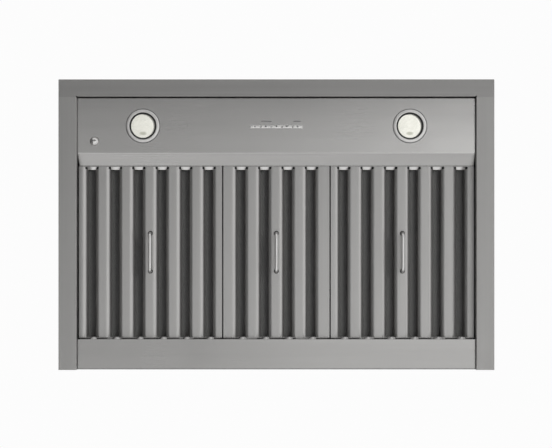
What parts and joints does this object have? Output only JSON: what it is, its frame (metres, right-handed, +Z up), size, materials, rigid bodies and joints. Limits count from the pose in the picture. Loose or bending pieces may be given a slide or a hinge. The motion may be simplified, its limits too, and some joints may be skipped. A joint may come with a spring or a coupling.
{
  "type": "chimney range hood",
  "caption": "Wall-hung chimney range hood: pyramid canopy, slotted filters with wire handles, lamps, key row, blower with damper and a telescoping chimney.",
  "frame": {"origin": "middle of the four wall screw holes, on the wall plane", "axes": "+Z up, +Y into the wall, +X to the right for a person facing the hood"},
  "size_m": [0.9144, 0.6096, 0.7612],
  "materials": {
    "brushed_steel": "brushed",
    "filter_steel": "brushed",
    "filter_mesh": "woven mesh",
    "polished_steel": "polished",
    "galvanised_sheet": "galvanised",
    "motor_enamel": "satin",
    "lamp_glass": "frosted",
    "lamp_aluminium": "satin",
    "dark_rubber": "matte",
    "white_plastic": "matte",
    "dark_plastic": "matte",
    "circuit_board": "gloss",
    "wire_cover": "matte"
  },
  "bodies": {
    "hood": {"blower_housing": "galvanised_sheet", "blower_motor": "motor_enamel", "cable_gland": "dark_rubber", "canopy_back_panel": "galvanised_sheet", "canopy_shell": "brushed_steel", "capacitor": "white_plastic", "chimney_screws": "polished_steel", "control_board": "circuit_board", "control_housing": "white_plastic", "control_panel": "brushed_steel", "damper_rod": "polished_steel", "duct_collar": "galvanised_sheet", "filter_springs": "polished_steel", "heat_sensor": "polished_steel", "heat_sensor_nut": "polished_steel", "indicator_windows": "dark_plastic", "inlet_ring": "galvanised_sheet", "junction_box": "galvanised_sheet", "junction_cover": "galvanised_sheet", "key_switches": "dark_plastic", "lamp_boards": "lamp_aluminium", "lamp_driver": "white_plastic", "lamp_left_bezel": "polished_steel", "lamp_left_housing": "lamp_aluminium", "lamp_left_lens": "lamp_glass", "lamp_right_bezel": "polished_steel", "lamp_right_housing": "lamp_aluminium", "lamp_right_lens": "lamp_glass", "lamp_seals": "dark_rubber", "lower_chimney": "brushed_steel", "motor_plate": "galvanised_sheet", "panel_brackets": "galvanised_sheet", "rear_rail": "brushed_steel", "terminal_block": "white_plastic", "top_deck": "galvanised_sheet", "wiring_harness": "wire_cover"},
    "filter_left": {"filter_left_frame": "filter_steel", "filter_left_baffle": "filter_steel", "filter_left_mesh": "filter_mesh", "filter_left_handle": "polished_steel"},
    "filter_middle": {"filter_middle_frame": "filter_steel", "filter_middle_baffle": "filter_steel", "filter_middle_mesh": "filter_mesh", "filter_middle_handle": "polished_steel"},
    "filter_right": {"filter_right_frame": "filter_steel", "filter_right_baffle": "filter_steel", "filter_right_mesh": "filter_mesh", "filter_right_handle": "polished_steel"},
    "light_key": {"light_button": "polished_steel"},
    "low_key": {"low_button": "polished_steel"},
    "medium_key": {"medium_button": "polished_steel"},
    "high_key": {"high_button": "polished_steel"},
    "power_key": {"power_button": "polished_steel"},
    "fan": {"impeller": "galvanised_sheet", "motor_shaft": "polished_steel"},
    "flap_front": {"damper_flap_front": "galvanised_sheet"},
    "flap_rear": {"damper_flap_rear": "galvanised_sheet"},
    "chimney_slider": {"upper_chimney": "brushed_steel", "chimney_top_bracket": "galvanised_sheet"}
  },
  "joints": [
    {"name": "filter_left_tilt", "type": "hinge", "parent": "hood", "child": "filter_left", "pos_m": [-0.2665, -0.0643, -0.192], "axis": [1, 0, 0], "range_deg": [0, 75]},
    {"name": "filter_middle_tilt", "type": "hinge", "parent": "hood", "child": "filter_middle", "pos_m": [0, -0.0643, -0.192], "axis": [1, 0, 0], "range_deg": [0, 75]},
    {"name": "filter_right_tilt", "type": "hinge", "parent": "hood", "child": "filter_right", "pos_m": [0.2665, -0.0643, -0.192], "axis": [1, 0, 0], "range_deg": [0, 75]},
    {"name": "light_press", "type": "slide", "parent": "hood", "child": "light_key", "axis": [0, 0, 1], "range_m": [0, 0.0015], "stiffness_N_per_m": 400},
    {"name": "low_press", "type": "slide", "parent": "hood", "child": "low_key", "axis": [0, 0, 1], "range_m": [0, 0.0015], "stiffness_N_per_m": 400},
    {"name": "medium_press", "type": "slide", "parent": "hood", "child": "medium_key", "axis": [0, 0, 1], "range_m": [0, 0.0015], "stiffness_N_per_m": 400},
    {"name": "high_press", "type": "slide", "parent": "hood", "child": "high_key", "axis": [0, 0, 1], "range_m": [0, 0.0015], "stiffness_N_per_m": 400},
    {"name": "power_press", "type": "slide", "parent": "hood", "child": "power_key", "axis": [0, 0, 1], "range_m": [0, 0.0015], "stiffness_N_per_m": 400},
    {"name": "fan_spin", "type": "hinge", "parent": "hood", "child": "fan", "pos_m": [0, -0.16, -0.045], "axis": [1, 0, 0], "continuous": true},
    {"name": "flap_front_lift", "type": "hinge", "parent": "hood", "child": "flap_front", "pos_m": [0, -0.16, 0.1032], "axis": [-1, 0, 0], "range_deg": [0, 80]},
    {"name": "flap_rear_lift", "type": "hinge", "parent": "hood", "child": "flap_rear", "pos_m": [0, -0.16, 0.1032], "axis": [1, 0, 0], "range_deg": [0, 80]},
    {"name": "chimney_extend", "type": "slide", "parent": "hood", "child": "chimney_slider", "axis": [0, 0, 1], "range_m": [0, 0.35]}
  ]
}
